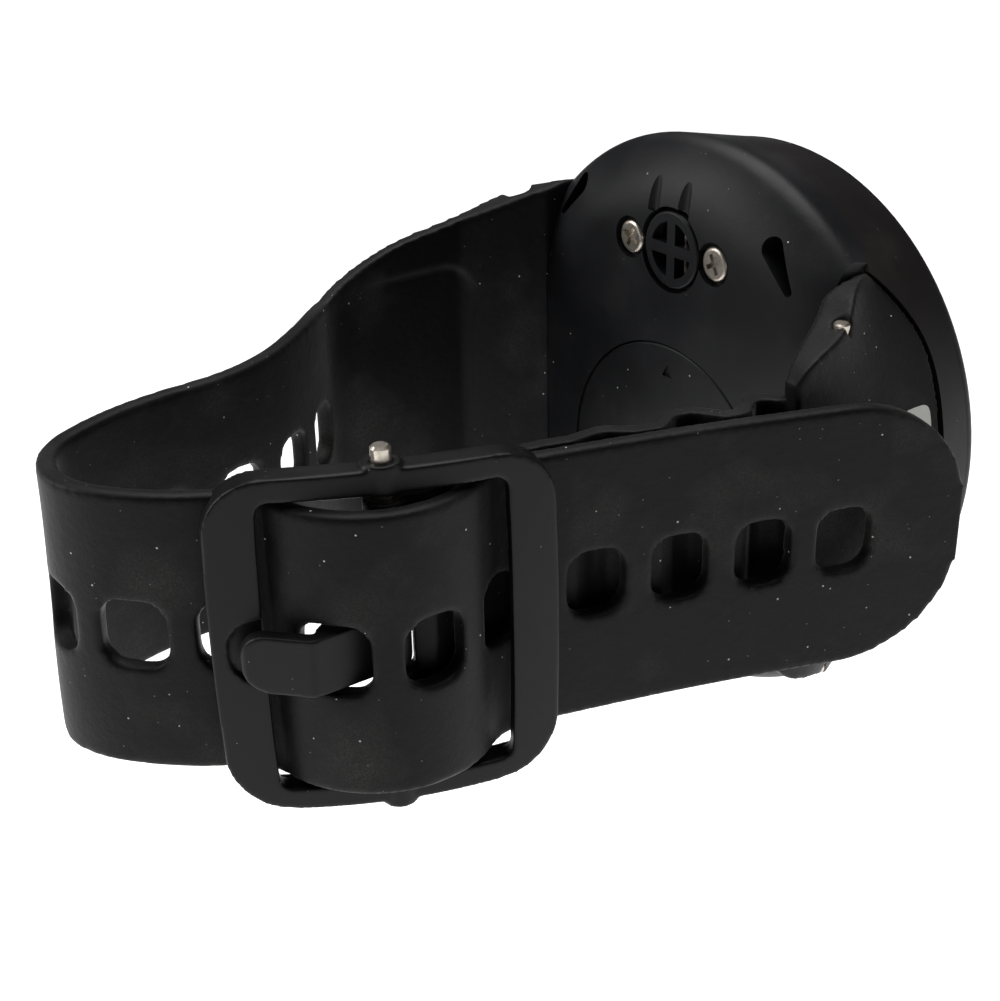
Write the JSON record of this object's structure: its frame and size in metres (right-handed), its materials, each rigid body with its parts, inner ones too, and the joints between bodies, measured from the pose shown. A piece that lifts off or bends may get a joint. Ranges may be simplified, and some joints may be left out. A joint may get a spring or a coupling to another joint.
{
  "type": "dive computer",
  "caption": "Round wrist dive computer with a display, a push button and a water-contact sensor, on a closed holed rubber strap with a prong buckle.",
  "frame": {"origin": "on the case's axis, at the level of its flat back", "axes": "-Y out of the flat back, +Y out of the face; +Z along the strap pins, towards the sensor; +X from the long strap's lug to the short strap's lug"},
  "size_m": [0.0742, 0.1024, 0.07],
  "materials": {
    "shell": "fine matt moulded, slightly blue black",
    "ring": "fine matt, slightly brown black",
    "seal": "soft black",
    "lens": "clear, polished",
    "mask": "printed black",
    "lcd": "grey-green reflective",
    "frame_plastic": "white moulded",
    "board": "solder mask",
    "steel": "bright nickel",
    "brass": "plain",
    "strap": "matt black elastomer",
    "buckle": "satin black"
  },
  "bodies": {
    "case": {"case_back": "shell", "bezel_ring": "ring", "body_seal": "seal", "display_lens": "lens", "lens_gasket": "seal", "dial_mask": "mask", "lcd_panel": "lcd", "lcd_frame": "frame_plastic", "main_board": "board", "button_switch": "frame_plastic", "button_spring": "steel", "battery": "steel", "battery_contacts": "steel", "sensor_cap": "shell", "pressure_sensor": "steel", "contact_screws": "steel", "buzzer": "brass", "strap_pin_long": "steel", "strap_pin_short": "steel"},
    "button": {"mode_button": "ring"},
    "cover": {"battery_cover": "shell", "cover_oring": "seal"},
    "long_half": {"long_strap": "strap"},
    "short_half": {"short_strap": "strap"},
    "buckle": {"buckle_frame": "buckle", "buckle_pin": "steel"},
    "prong": {"buckle_prong": "buckle"}
  },
  "joints": [
    {"name": "button_press", "type": "slide", "parent": "case", "child": "button", "axis": [0, -1, 0], "range_m": [0, 0.0008], "stiffness_N_per_m": 2500},
    {"name": "cover_turn", "type": "hinge", "parent": "case", "child": "cover", "pos_m": [0, 0, -0.0076], "axis": [0, -1, 0], "range_deg": [0, 50]},
    {"name": "long_strap_pivot", "type": "hinge", "parent": "case", "child": "long_half", "pos_m": [-0.0288, -0.0013, 0], "axis": [0, 0, 1], "range_deg": [-0.1, 0.1]},
    {"name": "short_strap_pivot", "type": "hinge", "parent": "case", "child": "short_half", "pos_m": [0.0288, -0.0013, 0], "axis": [0, 0, 1], "range_deg": [-0.1, 0.1]},
    {"name": "buckle_tilt", "type": "hinge", "parent": "short_half", "child": "buckle", "pos_m": [0.0231, -0.0551, 0], "axis": [0, 0, 1], "range_deg": [-0.3, 0.3]},
    {"name": "prong_swing", "type": "hinge", "parent": "buckle", "child": "prong", "pos_m": [0.0231, -0.0551, 0], "axis": [0, 0, 1], "range_deg": [0, 3]}
  ]
}
